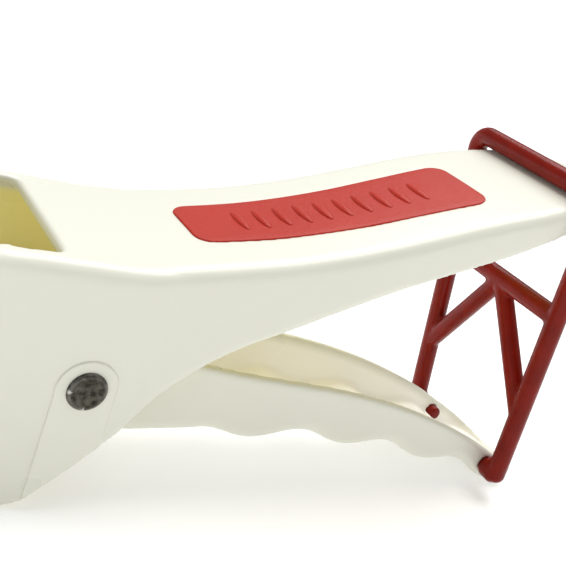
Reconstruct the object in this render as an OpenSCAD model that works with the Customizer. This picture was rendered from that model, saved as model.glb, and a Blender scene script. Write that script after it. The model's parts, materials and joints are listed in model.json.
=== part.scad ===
// Squeeze-handled egg slicer: a well for one egg in the head, a grid of fixed blades under it,
// a comb that the lower handle drives down onto the egg, and a wire-like bail that ties the handles.
// Origin: on the table, under the middle of the whole tool. +X runs to the handle's end, +Z is up.
// The modules measure X from the middle of the well.

/* [Head] */
// Length of the egg well, along X
well_len = 64; // [54:1:78]
// Width of the well's opening at the pivot end
neck_w = 35.2; // [32:0.4:38]
// Width of the well's opening at its widest
well_w = 47.6; // [44:0.4:52]
// Depth of the turned-down rim around the well
rim_depth = 4; // [2.5:0.5:6]
// How far the rim overhangs the inside of the walls
rim_overhang = 2.2; // [1.6:0.2:3]
// Wall thickness of the head and the upper handle
wall = 2.6; // [2.2:0.1:3.2]
// Height of the pivot above the foot
pivot_h = 27.7; // [26:0.1:31]
// From the well's edge to the pivot
pivot_gap = 9.5; // [9.5:0.5:13]

/* [Upper handle] */
// Angle at which the handle rises from level
handle_rise = 15; // [12:0.5:18]
// Pivot to the handle's end
handle_len = 140; // [134:1:165]
// Width across the handle's walls
handle_w = 44; // [43:0.5:50]
// Thickness of the handle's top
top_t = 2.8; // [2.4:0.1:3.4]
// Radius of the raised pad around the pin
pad_r = 6.3; // [5.6:0.1:7.5]
// Height of the raised pad
pad_h = 0.4; // [0.3:0.1:1]

/* [Grip panel] */
// Pivot to the near end of the panel
panel_start = 27; // [24:1:34]
// Length of the panel
panel_len = 71; // [55:1:80]
// Width of the panel at its pivot end
panel_w1 = 18.2; // [14:0.2:22]
// Width of the panel at its outer end
panel_w2 = 22.2; // [18:0.2:26]
// Thickness of the panel
panel_t = 1.5; // [1:0.1:1.8]

/* [Lower handle] */
// Full squeeze from rest, degrees
squeeze = 25; // [18:1:26]
// Pivot to the tip of the lower handle
lever_len = 141; // [136:1:150]
// Width of the lower handle, outside
lever_w = 28.4; // [26:0.2:31]
// Length of the lever's rounded tip, in plan
lever_tip = 9; // [7:0.5:14]
// Thickness of the lever's side walls and floor
lever_wall = 2.2; // [1.8:0.1:2.6]
// Finger scallops along the underside, spacing
finger_pitch = 26.4; // [25:0.2:28]
// Depth of the scallops
finger_depth = 2.5; // [1.5:0.1:3.5]

/* [Bail] */
// Diameter of the bail's rod
rod_d = 4.8; // [4:0.1:5.4]
// Diameter of the feet that turn in the lever
foot_d = 3.8; // [3:0.1:4.2]
// Space between each leg and the lower handle
foot_space = 2.2; // [1.2:0.1:3]
// How much narrower each side of the handle is where the bail crosses it
nose_in = 1.9; // [1.5:0.1:3]

/* [Pivot] */
// Diameter of the steel pin
pin_d = 5; // [4:0.1:6]
// Diameter of the pin's head
pin_head_d = 8; // [7.4:0.1:10]
// Outside diameter of the bushes in the lever
bush_d = 7.4; // [6.8:0.1:8.4]
// Wire of the return spring
spring_wire = 1.2; // [0.9:0.1:1.5]
// Turns of the return spring
spring_turns = 4; // [3:1:5]

/* [Blades] */
// Number of blades
blade_count = 7; // [5:2:7]
// Blade spacing, on centre
blade_pitch = 5.5; // [5:0.1:5.8]
// Blade thickness
blade_t = 0.4; // [0.3:0.1:0.6]
// Blade height
blade_h = 5; // [4:0.5:6]
// Height of the blade frame
frame_h = 8; // [7:0.5:9]
// Thickness of the comb's fins
fin_t = 2.4; // [1.6:0.1:3]

/* [Clearances] */
// Gap between pieces that move past each other
gap = 0.4; // [0.3:0.1:0.6]
// Radial clearance of the pin and the bail's feet
run_fit = 0.05; // [0.02:0.01:0.1]
// Gap around pieces that are set in or screwed on
seat = 0.1; // [0.05:0.05:0.2]

/* [Hidden] */
$fn = 48;

white = "ivory";
red = "firebrick";
steel = "silver";
lots = 200;                      // larger than anything the cuts have to clear

half_well = well_len / 2;
pivot_x = half_well + pivot_gap;
handle_half = handle_w / 2;
lever_half = lever_w / 2;
bail_top_w = handle_w - 2 * nose_in + rod_d + 2.5 * gap;             // between the legs, on centre
legs_lean = 8.4;                                  // most that the two legs close in downwards
bail_foot_w = max(lever_w + rod_d + 2 * foot_space, bail_top_w - legs_lean);
tip_low = [lever_len - 9, -10.85];                // lowest point of the lever's tip, along the lever
lever_rest = atan2(-tip_low.y, tip_low.x) - asin((pivot_h - gap) / norm(tip_low));   // tip just off the table
lever_drop = handle_rise - lever_rest;

frame_z = 1.2;                   // the blade frame stays clear of the table
frame_top = frame_z + frame_h;
blade_top = frame_top - 0.2;
blade_bottom = blade_top - blade_h;
clamp_t = 2;
clamp_w = 4;
clamp_x = half_well - 1;         // middle of each clamp bar
cut_half = clamp_x - clamp_w / 2 - 0.5;            // half length of the cutting opening
screw_d = 2.2;
screw_head_d = 4.2;

// ---- curves ----

function spline_at(a, b, c, d, t) =
    0.5 * (2 * b + (c - a) * t + (2 * a - 5 * b + 4 * c - d) * t * t + (3 * b - a - 3 * c + d) * t * t * t);

// A smooth curve through points, each stretch in n steps
function smooth(p, n = 5) = [
    for (i = [0 : len(p) - 2], j = [0 : n - 1])
        spline_at(p[max(i - 1, 0)], p[i], p[i + 1], p[min(i + 2, len(p) - 1)], j / n),
    p[len(p) - 1]];

function reversed(p) = [for (i = [len(p) - 1 : -1 : 0]) p[i]];
function mirrored(p) = concat(p, [for (q = reversed(p)) [q.x, -q.y]]);
function turned(p, a) = [for (q = p) [q.x * cos(a) - q.y * sin(a), q.x * sin(a) + q.y * cos(a)]];
function lifted(p, dz) = [for (q = p) [q.x, q.y + dz]];
function arc(c, r, a0, a1, n = 12) = [for (i = [0 : n]) c + r * [cos(a0 + (a1 - a0) * i / n), sin(a0 + (a1 - a0) * i / n)]];

// Plan of the well, g larger all round
function well_plan(g) = mirrored(concat(
    [[half_well + g, neck_w / 2 + g]],
    smooth([[half_well * 0.7, neck_w / 2 + 0.5 + g], [half_well * 0.25, well_w / 2 - 2 + g],
            [-half_well * 0.25, well_w / 2 + g], [-half_well * 0.62, well_w / 2 - 1.2 + g],
            [-half_well * 0.9 - 0.6 * g, well_w / 2 - 6 + 0.8 * g], [-half_well - g, well_w / 2 - 15],
            [-half_well - 0.6 - g, 0]])));

// ---- frames ----

// Everything at the pivot, level with the table
module at_pivot() { translate([pivot_x, 0, pivot_h]) children(); }
// Along the upper handle
module on_handle() { at_pivot() rotate([0, -handle_rise, 0]) children(); }
// Along the lower handle, as it hangs at rest
module on_lever() { at_pivot() rotate([0, -lever_rest, 0]) children(); }
// On the lever, in the level position that it reaches when it is squeezed shut
module on_shut_lever() { at_pivot() rotate([0, squeeze, 0]) children(); }

// A side outline (x, z) given width along Y
module side_slab(outline, w) { rotate([90, 0, 0]) linear_extrude(w, center = true) polygon(outline); }
module across(d, w) { rotate([90, 0, 0]) cylinder(d = d, h = w, center = true); }

// A round rod between two points
module rod(a, b, d) {
    v = b - a;
    translate(a) rotate([0, acos(v.z / norm(v)), atan2(v.y, v.x)]) cylinder(d = d, h = norm(v));
}

// ---- upper body ----

nose_x = handle_len - 6;
// Crown line of the handle, along the handle
crown = [[-46, 42], [-30, 36.2], [-15, 30.6], [-5, 27.4], [3.3, 25.1], [11.8, 22.8], [20, 21.6], [30, 20.7],
         [43, 20.1], [55, 20.3], [67, 21.1], [80, 22.5], [94, 24], [108, 24.8], [118, 25],
         [nose_x - 10, 25]];
nose = [[nose_x - 6, 24.8], [nose_x + 2, 23.8], [handle_len, 21.8], [nose_x + 3, 20.2], [nose_x - 4, 19.8]];
// Lower edge of the side walls, along the handle
skirt = [[-12.3, -23.4], [-7.5, -20.6], [-0.6, -16.5], [7, -11.4], [19.3, -3.2], [30.7, 1.7], [45.1, 5], [68.5, 10.3],
         [94.3, 14.7], [112.4, 17.9], [nose_x - 10, 19.4]];

// The bail's top bar lies over the crown
bar_x = handle_len - 20.5;
bar_at = [bar_x, lookup(bar_x, smooth(crown)) + rod_d / 2 + gap * 0.75];

head_back = half_well + 0.6 + rim_overhang + wall;
head_swell = 0.9;                                  // head is this much wider a side than the handle
nose_end = turned(nose, handle_rise)[2].x;         // reach of the handle's end, level
bail_x = turned([bar_at], handle_rise)[0].x;       // where the bail crosses, level
function level_crown(dz) = turned(lifted(smooth(crown), dz), handle_rise);
rim_top = 27.1;                                    // head's rim above the pivot
hollow_slope = 0.5;                                // hollow's ceiling falls this much towards the handle

function body_outline(dz) = concat(
    [[-pivot_x - head_back, -pivot_h], [-pivot_x - head_back, rim_top + dz]],
    [for (p = level_crown(dz)) if (p.x > -pivot_x + 6) [p.x, p.x < 0 ? min(p.y, rim_top + dz) : p.y]],
    turned(smooth(nose), handle_rise),
    turned(reversed(smooth(skirt)), handle_rise),
    [[-12.5, -pivot_h]]);

// Plan of the whole body: head, slightly waisted handle, round nose
function body_plan(g) = mirrored(concat(
    [[-pivot_x - half_well - 0.6 - rim_overhang - wall - g, 0]],
    [for (p = reversed([for (q = well_plan(rim_overhang + wall + g)) if (q.y > 0 && q.x < half_well * 0.6) q]))
        p - [pivot_x, 0]],
    smooth([[-15, handle_half + head_swell + g], [8, handle_half + head_swell + g],
            [17, handle_half - 0.4 + g], [50, handle_half - 0.3 + g], [nose_end - 42, handle_half + g],
            [bail_x - 9, handle_half - 0.5 + g], [bail_x, handle_half - nose_in + g],
            [nose_end - 12, handle_half - 4.6 + g], [nose_end - 5, handle_half - 9 + g],
            [nose_end - 1 + g * 0.9, handle_half - 15], [nose_end + g, 0]])));

module body_shell() {
    intersection() {
        side_slab(body_outline(0), lots);
        translate([0, 0, -lots / 2]) linear_extrude(lots) polygon(body_plan(0));
    }
}

module body_hollow() {
    intersection() {
        side_slab(concat(
            [[-pivot_x - head_back, -lots], [-pivot_x - head_back, rim_top - rim_depth]],
            [[-pivot_gap, rim_top - hollow_slope - rim_depth]],
            [for (p = level_crown(-top_t)) if (p.x > -2) p],
            [[lots, -lots]]), lots);
        translate([0, 0, -lots / 2]) linear_extrude(lots) polygon(body_plan(-wall));
    }
}

module pin_pad() {
    pad_w = handle_w + 2 * head_swell + 2 * pad_h;
    intersection() {
        rotate([0, -handle_rise, 0]) union() {
            across(pad_r * 2, pad_w);
            translate([-pad_r, -pad_w / 2, -lots]) cube([2 * pad_r, pad_w, lots]);
        }
        side_slab(body_outline(0), lots);
    }
}

module grip_outline(g) {
    // Panel plan, corners rounded
    r = 4;
    a = panel_start - g;
    b = panel_start + panel_len + g;
    wa = panel_w1 / 2 + g;
    wb = panel_w2 / 2 + g;
    polygon(mirrored(concat(
        [[b, 0]], arc([b - r, wb - r], r, 0, 90), arc([a + r, wa - r], r, 90, 180), [[a, 0]])));
}

module panel_band(low, high, g) {
    intersection() {
        side_slab(concat(lifted(smooth(crown), high), reversed(lifted(smooth(crown), low))), lots);
        linear_extrude(lots) grip_outline(g);
    }
}

frame_screw_x = [-18, 12];
module frame_screw_place() {
    for (x = frame_screw_x, s = [-1, 1])
        translate([x, s * lookup(x, [for (p = reversed(well_plan(rim_overhang + wall))) if (p.y < 0) [p.x, -p.y]]),
                   frame_z + frame_h / 2])
            rotate([-s * 90, 0, 0]) children();
}

module upper_body() {
    color(white) difference() {
        at_pivot() difference() {
            union() { body_shell(); pin_pad(); }
            body_hollow();
        }
        translate([0, 0, pivot_h]) linear_extrude(lots) polygon(well_plan(0));
        at_pivot() across(pin_d + 2 * run_fit, lots);
        on_handle() panel_band(-panel_t, 10, seat);
        frame_screw_place() {
            translate([0, 0, -2 * wall]) cylinder(d = screw_d + 2 * seat, h = lots);
            cylinder(d = screw_head_d + 2 * seat, h = lots);
        }
        on_handle() for (s = [-1, 1]) bail_bend(s, rod_d + 2 * gap);   // room for the bail's corners
    }
}

module grip_panel() { color(red) on_handle() panel_band(-panel_t, 0, 0); }

// ---- pivot ----

pin_seat = handle_half + head_swell + pad_h;              // face of the pad
head_t = 0.9;
washer_t = 0.6;
module pivot_pin() {
    color(steel) at_pivot() rotate([90, 0, 0]) rotate_extrude() polygon(concat(
        [[0, pin_seat + head_t], [pin_head_d / 2 - 0.7, pin_seat + head_t], [pin_head_d / 2, pin_seat + head_t - 0.5],
         [pin_head_d / 2, pin_seat], [pin_d / 2, pin_seat], [pin_d / 2, -pin_seat - washer_t - 1.6],
         [pin_d / 2 - 0.5, -pin_seat - washer_t - 2], [0, -pin_seat - washer_t - 2]]));
}
module ring(outer, inner, h) { difference() { cylinder(d = outer, h = h); translate([0, 0, -1]) cylinder(d = inner, h = h + 2); } }
module pin_washer() {
    color(steel) at_pivot() translate([0, pin_seat + washer_t, 0]) rotate([90, 0, 0])
        ring(pin_head_d + 1, pin_d + 2 * run_fit, washer_t);
}
module pin_cap() {
    color(steel) at_pivot() translate([0, pin_seat + washer_t + 1.4, 0]) rotate([90, 0, 0])
        ring(pin_head_d, pin_d, 1.4);
}

// ---- blades ----

module blade_frame() {
    color("gainsboro") difference() {
        translate([0, 0, frame_z]) linear_extrude(frame_h) polygon(well_plan(rim_overhang - gap));
        intersection() {
            translate([0, 0, -1]) linear_extrude(lots) polygon(well_plan(-2.5));
            translate([-cut_half, -lots / 2, -1]) cube([2 * cut_half, lots, lots]);
        }
        for (i = [1 : blade_count])
            translate([-half_well, blade_y(i) - blade_t / 2 - seat / 2, blade_bottom])
                cube([2 * half_well, blade_t + seat, lots]);
        frame_screw_place() translate([0, 0, -7]) cylinder(d = screw_d, h = 8);
        clamp_screw_place() translate([0, 0, -5]) cylinder(d = screw_d, h = lots);
    }
}

function blade_y(i) = (i - (blade_count + 1) / 2) * blade_pitch;
blade_half = half_well - 0.4;
module blade(i) {
    color(steel) translate([0, blade_y(i), blade_bottom]) rotate([90, 0, 90])
        translate([0, 0, -blade_half]) linear_extrude(2 * blade_half)
            polygon([[-blade_t / 2, 0], [blade_t / 2, 0], [blade_t / 2, blade_h - 1.2], [0, blade_h - 0.05], [-blade_t / 2, blade_h - 1.2]]);
}

clamp_half = neck_w / 2 - 0.6;
module clamp_screw_place() {
    for (x = [-clamp_x, clamp_x], y = [-1, 1] * (blade_y(blade_count - 1) - blade_pitch / 2))
        translate([x, y, frame_top]) children();
}
module clamp(x) {
    color("lightgray") difference() {
        intersection() {
            translate([x - clamp_w / 2, -clamp_half, frame_top]) cube([clamp_w, 2 * clamp_half, clamp_t]);
            linear_extrude(lots) polygon(well_plan(rim_overhang - 2 * gap));
        }
        clamp_screw_place() translate([0, 0, -1]) cylinder(d = screw_d + 2 * seat, h = lots);
    }
}
module front_clamp() { clamp(-clamp_x); }
module rear_clamp() { clamp(clamp_x); }

module screw(length) {
    difference() {
        union() {
            cylinder(d = screw_head_d, h = 1);
            translate([0, 0, 1]) cylinder(d1 = screw_head_d, d2 = screw_head_d - 1.4, h = 0.5);
            translate([0, 0, -length]) cylinder(d = screw_d, h = length);
        }
        for (a = [0, 90]) rotate(a) translate([-1.2, -0.25, 0.8]) cube([2.4, 0.5, 2]);
    }
}
module clamp_screws() { color(steel) clamp_screw_place() translate([0, 0, clamp_t]) screw(clamp_t + 4); }
module frame_screws() { color(steel) frame_screw_place() screw(6.4); }

// ---- lower handle ----

boss_r = 9.5;
foot_on_lever = [lever_len - 17.2, -5.1];          // bail's foot axis, along the lever
foot_at = turned([foot_on_lever], -lever_drop)[0];  // the same, along the upper handle
rim_line = [[4, 8.6], [18, 6.2], [35, 5.5], [48, 5.8], [68, 6.5], [84.8, 5.8], [100, 3.9],
            [lever_len - 27, 1.1], [lever_len - 17, -1.7], [lever_len - 8, -4.4], [lever_len - 2, -6.6]];
tip_line = [[lever_len, -8.4], [lever_len - 2.4, -10.2], tip_low];
hub_line = [[24, -12], [15, -13.5], [4, -13.6], [-5, -10.8], [-boss_r, -3]];
first_finger = 48.2;
// Underside of the grip: a shallow arch with a cosine scallop for each finger
function under(x) = -6.1 - 2.9 * pow((x - 87) / 40, 2) - finger_depth / 2 * cos(360 * (x - first_finger) / finger_pitch);

function lever_outline(dz) = concat(
    [for (p = smooth(rim_line)) p],
    smooth(tip_line),
    [for (x = [lever_len - 11 : -2 : 34]) [x, under(x) + dz]],
    smooth(hub_line),
    arc([0, 0], boss_r, 180, 100, 8));

function lever_plan(g) = mirrored(concat(
    [[-lots, lever_half + g]],
    [for (a = [90 : -9 : 0]) [lever_len - lever_tip + (lever_tip + g) * cos(a), (lever_half + g) * sin(a)]]));

module lever_channel() {
    // Space between the lever's walls: its floor follows the scallops, then turns up to the tip
    side_slab(concat(
        [[-lots, lots], [lots, lots], [lever_len - 3, 2]],
        smooth([[lever_len - 3.2, -5], [lever_len - 5.5, -7], [lever_len - 10, -8.4]]),
        [for (x = [lever_len - 13 : -2 : 34]) [x, under(x) + lever_wall]],
        [[24, -12 + lever_wall], [boss_r + 3, -13 + lever_wall], [boss_r + 1, lots]]), 2 * lots);
}

module lower_handle() {
    color(white) difference() {
        union() {
            on_lever() difference() {
                intersection() {
                    side_slab(lever_outline(0), lots);
                    translate([0, 0, -lots / 2]) linear_extrude(lots) polygon(lever_plan(0));
                }
                intersection() {
                    lever_channel();
                    translate([0, 0, -lots / 2]) linear_extrude(lots) polygon(lever_plan(-lever_wall));
                }
            }
            on_shut_lever() arm();
        }
        on_lever() spring_bay();
        at_pivot() across(pin_d + 4 * run_fit, lots);
        bush_place(1) cylinder(d = bush_d, h = bush_len);
        bush_place(-1) cylinder(d = bush_d, h = bush_len);
        foot_holes();
        pusher_screw_place() translate([0, 0, -lots]) cylinder(d = screw_d + 2 * seat, h = 2 * lots);
    }
}

// Space at the hub's far end for the spring, open to the channel and upwards for its legs
module spring_bay() {
    bay_w = lever_half - lever_wall - spring_y + gap;
    translate([0, spring_y - gap + bay_w / 2, 0]) {
        across(2 * spring_r + 4, bay_w);
        side_slab([[-3.5, 0], [-3.5, lots], [boss_r + 3.5, lots], [boss_r + 3.5, -10.7], [6, -10],
                   [1, -spring_r - 2]], bay_w);
    }
}

module foot_holes() {
    on_lever() translate([foot_on_lever.x, 0, foot_on_lever.y]) across(foot_d + 2 * run_fit, lots);
}

arm_top = -1;
arm_bottom = -9.4;
arm_reach = 27;
arm_half = 12;
module arm() {
    side_slab([[2, arm_top + 6], [-4, arm_top + 5], [-12, arm_bottom + 4.4], [-arm_reach, arm_bottom + 3.4],
               [-arm_reach, arm_bottom], [0, arm_bottom + 1.2]], 2 * arm_half);
}

bush_len = 5;
flange_t = handle_half + head_swell - wall - lever_half - gap;          // fills the space beside the lever
module bush_place(s) { at_pivot() translate([0, s * lever_half, 0]) rotate([s * 90, 0, 0]) children(); }
module bush(s) {
    color("dimgray") bush_place(s) difference() {
        union() {
            cylinder(d = bush_d, h = bush_len);
            translate([0, 0, -flange_t]) cylinder(d = bush_d + 5, h = flange_t);
        }
        translate([0, 0, -lots / 2]) cylinder(d = pin_d + 2 * run_fit, h = lots);
    }
}
module bush_near() { bush(-1); }
module bush_far() { bush(1); }

// ---- pusher ----

plate_top = arm_bottom - seat / 10;
plate_t = 3;
comb_half = cut_half - 3;
function fin_y(i) = (i - blade_count / 2) * blade_pitch;
module pusher_screw_place() {
    on_shut_lever() for (y = [-7, 7]) translate([-arm_reach + 5, y, arm_bottom + 3.9]) children();
}
module pusher() {
    fin_bottom = blade_bottom + 1 - pivot_h;
    color(white) difference() {
        on_shut_lever() union() {
            intersection() {
                translate([-pivot_x, 0, plate_top - plate_t]) linear_extrude(plate_t) polygon(well_plan(-4));
                translate([-pivot_x - comb_half, -lots / 2, -lots]) cube([2 * comb_half, lots, 2 * lots]);
            }
            for (i = [1 : blade_count - 1])
                translate([-pivot_x - comb_half + 1, fin_y(i) - fin_t / 2, fin_bottom])
                    cube([2 * comb_half - 2, fin_t, plate_top - plate_t - fin_bottom + 0.2]);
        }
        pusher_screw_place() translate([0, 0, -lots]) cylinder(d = screw_d, h = lots);
    }
}
module pusher_screws() { color(steel) pusher_screw_place() screw(7); }

// ---- return spring ----

spring_r = 5.2;
coil_rise = spring_wire + 0.15;                    // along the pin, each turn
lever_leg = lever_rest - 16;                       // direction of the leg on the lever's floor
body_leg = handle_rise + 40;                       // direction of the leg under the handle's top
wound = spring_turns * 360 + 180 + lever_leg - body_leg;
spring_y = lever_half - lever_wall - gap - spring_wire - coil_rise * (spring_turns + 0.4);
function coil(u) = let (a = lever_leg - 90 - u)
    [spring_r * cos(a), spring_y + spring_wire / 2 + u / 360 * coil_rise, spring_r * sin(a)];
spring_path = concat(
    [coil(0) + 17 * [cos(lever_leg), 0, sin(lever_leg)]],
    [for (u = [0 : 18 : wound - 6]) coil(u)],
    [coil(wound), coil(wound) + 22.5 * [cos(body_leg), 0, sin(body_leg)]]);

// A round wire swept along a path
function unit(v) = v / norm(v);
module wire(path, d, sides = 8) {
    n = len(path);
    function along(i) = unit(path[min(i + 1, n - 1)] - path[max(i - 1, 0)]);
    function out(i) = unit(cross(along(i), [0, 1, 0.03]));
    points = [for (i = [0 : n - 1], k = [0 : sides - 1])
        path[i] + d / 2 * (out(i) * cos(360 * k / sides) + cross(along(i), out(i)) * sin(360 * k / sides))];
    faces = concat(
        [[for (k = [0 : sides - 1]) k]],
        [for (i = [0 : n - 2], k = [0 : sides - 1])
            let (a = i * sides + k, b = i * sides + (k + 1) % sides) [b, a, a + sides, b + sides]],
        [[for (k = [sides - 1 : -1 : 0]) (n - 1) * sides + k]]);
    polyhedron(points, faces);
}
module return_spring() { color("gray") at_pivot() wire(spring_path, spring_wire); }

// ---- bail ----

bend_r = 4;                                        // of the bail's top corners, on centre
function leg_point(t, s) = [
    foot_at.x + (bar_at.x - foot_at.x) * t,
    s * (bail_foot_w + (bail_top_w - bail_foot_w) * t) / 2,
    foot_at.y + (bar_at.y - foot_at.y) * t];
cross_t = 0.605;
brace_t = 0.235;
// One top corner: the rod turns from the leg into the bar
module bail_bend(s, d) {
    corner = leg_point(1, s);
    down = unit(leg_point(0, s) - corner);
    inward = [0, -s, 0];
    half = acos(down * inward) / 2;
    centre = corner + unit(down + inward) * bend_r / sin(half);
    swing = 180 - 2 * half;
    first = corner + down * bend_r / tan(half);
    multmatrix(axes_at(centre, unit(first - centre), unit(-down)))
        rotate_extrude(angle = swing) translate([bend_r, 0]) circle(d = d);
}
// Matrix that puts the origin at o, X along x and Y along y
function axes_at(o, x, y) = let (z = cross(x, y))
    [[x.x, y.x, z.x, o.x], [x.y, y.y, z.y, o.y], [x.z, y.z, z.z, o.z], [0, 0, 0, 1]];
function bend_reach(s) = let (half = acos(unit(leg_point(0, s) - leg_point(1, s)) * [0, -s, 0]) / 2)
    bend_r / tan(half);

joint_d = rod_d + 0.04;                            // bends and feet stand a hair proud of the rod
cross_d = rod_d - 0.2;
brace_d = rod_d - 0.4;
module bail() {
    leg_len = norm(leg_point(1, 1) - leg_point(0, 1));
    reach = bend_reach(1) - 0.3;                   // each rod runs a little way into the bend
    apex = [leg_point(cross_t, 1).x, 0, leg_point(cross_t, 1).z];
    color(red) on_handle() {
        rod(leg_point(1, -1) + [0, reach, 0], leg_point(1, 1) - [0, reach, 0], rod_d);
        rod(leg_point(cross_t, -1), leg_point(cross_t, 1), cross_d);
        for (s = [-1, 1]) {
            bail_bend(s, joint_d);
            rod(leg_point(0, s), leg_point(1 - reach / leg_len, s), rod_d);
            translate(leg_point(0, s)) sphere(d = joint_d);
            rod(apex, leg_point(brace_t, s), brace_d);
            rod(leg_point(0, s), [foot_at.x, s * (lever_half - lever_wall - 0.2), foot_at.y], foot_d);
        }
    }
}

// The modules measure X from the well's middle: this puts them about the middle of the whole tool
back_x = -half_well - 0.6 - rim_overhang - wall;
tip_x = pivot_x + max([for (p = turned(smooth(concat(rim_line, tip_line)), lever_rest)) p.x]);
module in_row() { translate([-(back_x + tip_x) / 2, 0, 0]) children(); }

in_row() upper_body();
in_row() grip_panel();
in_row() pivot_pin();
in_row() pin_washer();
in_row() pin_cap();
in_row() blade_frame();
in_row() front_clamp();
in_row() rear_clamp();
in_row() clamp_screws();
in_row() frame_screws();
in_row() lower_handle();
in_row() bush_near();
in_row() bush_far();
in_row() pusher();
in_row() pusher_screws();
in_row() return_spring();
in_row() bail();
for (i = [1 : blade_count])
    in_row() blade(i);
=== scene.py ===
import json
import math

import bmesh
import bpy
from mathutils import Matrix, Vector


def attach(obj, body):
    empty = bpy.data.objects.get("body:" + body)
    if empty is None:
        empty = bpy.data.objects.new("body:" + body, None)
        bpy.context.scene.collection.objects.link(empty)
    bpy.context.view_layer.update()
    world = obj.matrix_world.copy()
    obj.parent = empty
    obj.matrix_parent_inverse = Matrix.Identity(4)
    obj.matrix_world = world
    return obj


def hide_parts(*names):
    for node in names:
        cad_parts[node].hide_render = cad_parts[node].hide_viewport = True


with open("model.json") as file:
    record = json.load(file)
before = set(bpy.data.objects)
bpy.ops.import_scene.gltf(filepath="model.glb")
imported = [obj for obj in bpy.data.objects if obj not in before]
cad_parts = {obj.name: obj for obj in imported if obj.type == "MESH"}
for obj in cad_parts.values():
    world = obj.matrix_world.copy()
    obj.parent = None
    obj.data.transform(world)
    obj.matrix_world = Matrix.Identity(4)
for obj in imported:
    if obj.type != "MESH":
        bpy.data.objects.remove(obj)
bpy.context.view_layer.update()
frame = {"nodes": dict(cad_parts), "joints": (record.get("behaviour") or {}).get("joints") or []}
print("frame loaded")

mm = 0.001
joints = {j["name"]: j for j in frame["joints"]}
pivot = Vector(joints["lever_squeeze"]["pos_m"])
footAxis = Vector(joints["bail_swing"]["pos_m"])
scene = bpy.context.scene

# Sizes are in millimetres and angles in degrees. Outlines run (along, up) from the pivot.
handleRise = 15.0
noseTip = (140, 21.8)            # end of the upper handle
barAt = (119.5, 27.7)            # where the bail's bar crosses it
crown = [(-46, 42), (-30, 36.2), (-15, 30.6), (-5, 27.4), (3.3, 25.1), (11.8, 22.8), (20, 21.6),
         (30, 20.7), (43, 20.1), (55, 20.3), (67, 21.1), (80, 22.5), (94, 24), (108, 24.8),
         (118, 25), (124, 25), (130, 24.5), (136, 23.6), (140, 22.2)]
skirt = [(-12.3, -23.4), (-7.5, -20.6), (-0.6, -16.5), (7, -11.4), (19.3, -3.2), (30.7, 1.7),
         (45.1, 5), (68.5, 10.3), (94.3, 14.7), (112.4, 17.9), (124, 19.4), (132, 20), (140, 21.4)]


def smoothed(points, steps=6):
    out = []
    last = len(points) - 1
    for i in range(last):
        a, b = points[max(i - 1, 0)], points[i]
        c, d = points[i + 1], points[min(i + 2, last)]
        for j in range(steps):
            t = j / steps
            out.append(tuple(
                0.5 * (2 * q + (r - p) * t + (2 * p - 5 * q + 4 * r - s) * t * t
                       + (3 * q - p - 3 * r + s) * t ** 3)
                for p, q, r, s in zip(a, b, c, d)))
    out.append(tuple(points[-1]))
    return out


def turned(points, degrees):
    c, s = math.cos(math.radians(degrees)), math.sin(math.radians(degrees))
    return [(x * c - z * s, x * s + z * c) for x, z in points]


def heightAt(line, x):
    if x <= line[0][0]:
        return line[0][1]
    for (x0, z0), (x1, z1) in zip(line, line[1:]):
        if x <= x1:
            return z0 + (z1 - z0) * (x - x0) / max(x1 - x0, 1e-9)
    return line[-1][1]


def resampled(points, step):
    # the same line with points about one step apart
    out = [points[0]]
    for a, b in zip(points, points[1:]):
        n = max(1, round(math.dist(a, b) / step))
        out += [tuple(p + (q - p) * k / n for p, q in zip(a, b)) for k in range(1, n + 1)]
    return out


def fromPivot(points, degrees):
    # points (along, across, up) in millimetres about the pivot, turned up by degrees, in metres
    c, s = math.cos(math.radians(degrees)), math.sin(math.radians(degrees))
    return [pivot + Vector((x * c - z * s, y, x * s + z * c)) * mm for x, y, z in points]


footAlong = (123.8, -5.1)
leverAngle = math.degrees(math.atan2(footAxis.z - pivot.z, footAxis.x - pivot.x)
                          - math.atan2(footAlong[1], footAlong[0]))


def newObject(name, points, faces):
    mesh = bpy.data.meshes.new(name)
    mesh.from_pydata([tuple(p) for p in points], [], faces)
    bm = bmesh.new()
    bm.from_mesh(mesh)
    bmesh.ops.remove_doubles(bm, verts=bm.verts, dist=1e-6)
    bmesh.ops.recalc_face_normals(bm, faces=bm.faces)
    bm.to_mesh(mesh)
    bm.free()
    obj = bpy.data.objects.new(name, mesh)
    scene.collection.objects.link(obj)
    return obj


def settle(obj):
    # modifiers become plain mesh
    bpy.context.view_layer.update()
    made = bpy.data.meshes.new_from_object(obj.evaluated_get(bpy.context.evaluated_depsgraph_get()))
    obj.modifiers.clear()
    obj.data = made
    for polygon in obj.data.polygons:
        polygon.use_smooth = True
    return obj


def combine(target, other, operation="DIFFERENCE"):
    cutter = target.modifiers.new("cut", "BOOLEAN")
    cutter.operation = operation
    cutter.object = other
    cutter.solver = "EXACT"
    settle(target)
    bpy.data.objects.remove(other)
    return target


def joined(target, *others):
    # closed shells kept in one piece
    bm = bmesh.new()
    bm.from_mesh(target.data)
    for other in others:
        bm.from_mesh(other.data)
        bpy.data.objects.remove(other)
    bm.to_mesh(target.data)
    bm.free()
    return target


def soften(obj, voxel, rounds):
    # one even skin with small soft edges, as a moulding has
    bm = bmesh.new()
    bm.from_mesh(obj.data)
    bmesh.ops.triangulate(bm, faces=bm.faces, ngon_method="EAR_CLIP")
    bm.to_mesh(obj.data)
    bm.free()
    skin = obj.modifiers.new("skin", "REMESH")
    skin.mode = "VOXEL"
    skin.voxel_size = voxel * mm
    skin.use_smooth_shade = True
    ease = obj.modifiers.new("ease", "SMOOTH")
    ease.factor = 0.5
    ease.iterations = rounds
    return settle(obj)


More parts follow.
